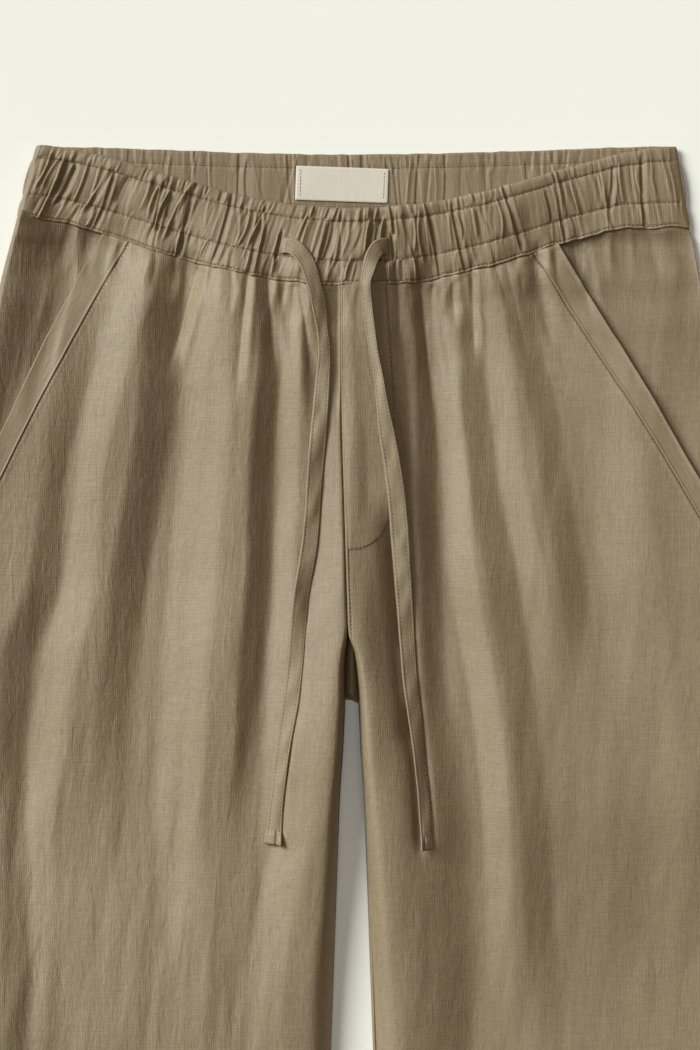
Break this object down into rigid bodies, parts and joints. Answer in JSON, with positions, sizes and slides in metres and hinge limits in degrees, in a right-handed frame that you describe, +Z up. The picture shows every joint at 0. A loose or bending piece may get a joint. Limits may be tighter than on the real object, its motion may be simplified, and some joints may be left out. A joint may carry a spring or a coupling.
{
  "type": "drawstring trousers",
  "caption": "Linen trousers laid flat with the front up: gathered elastic waistband, slant pockets, mock fly, blank label and loose drawstring ends.",
  "frame": {"origin": "on the surface that the trousers lie on, under the middle of their outline", "axes": "+Y up the garment to the waist, +X towards the wearer's left side, +Z up, out of the garment's front"},
  "size_m": [0.513, 1.07, 0.0264],
  "materials": {
    "linen": "khaki-taupe slubby plain-weave linen, matte",
    "linen_cord": "flat self-fabric cord with stitched edges",
    "label_tape": "cream woven tape, blank"
  },
  "bodies": {
    "root": {"front_right": "linen", "front_left": "linen", "back_right": "linen", "back_left": "linen", "pocket_band_right": "linen", "pocket_band_left": "linen", "pocket_facing_right": "linen", "pocket_facing_left": "linen", "fly_facing": "linen", "waistband_front": "linen", "waistband_back": "linen", "label": "label_tape", "drawstring_right": "linen_cord", "drawstring_left": "linen_cord"}
  },
  "joints": []
}
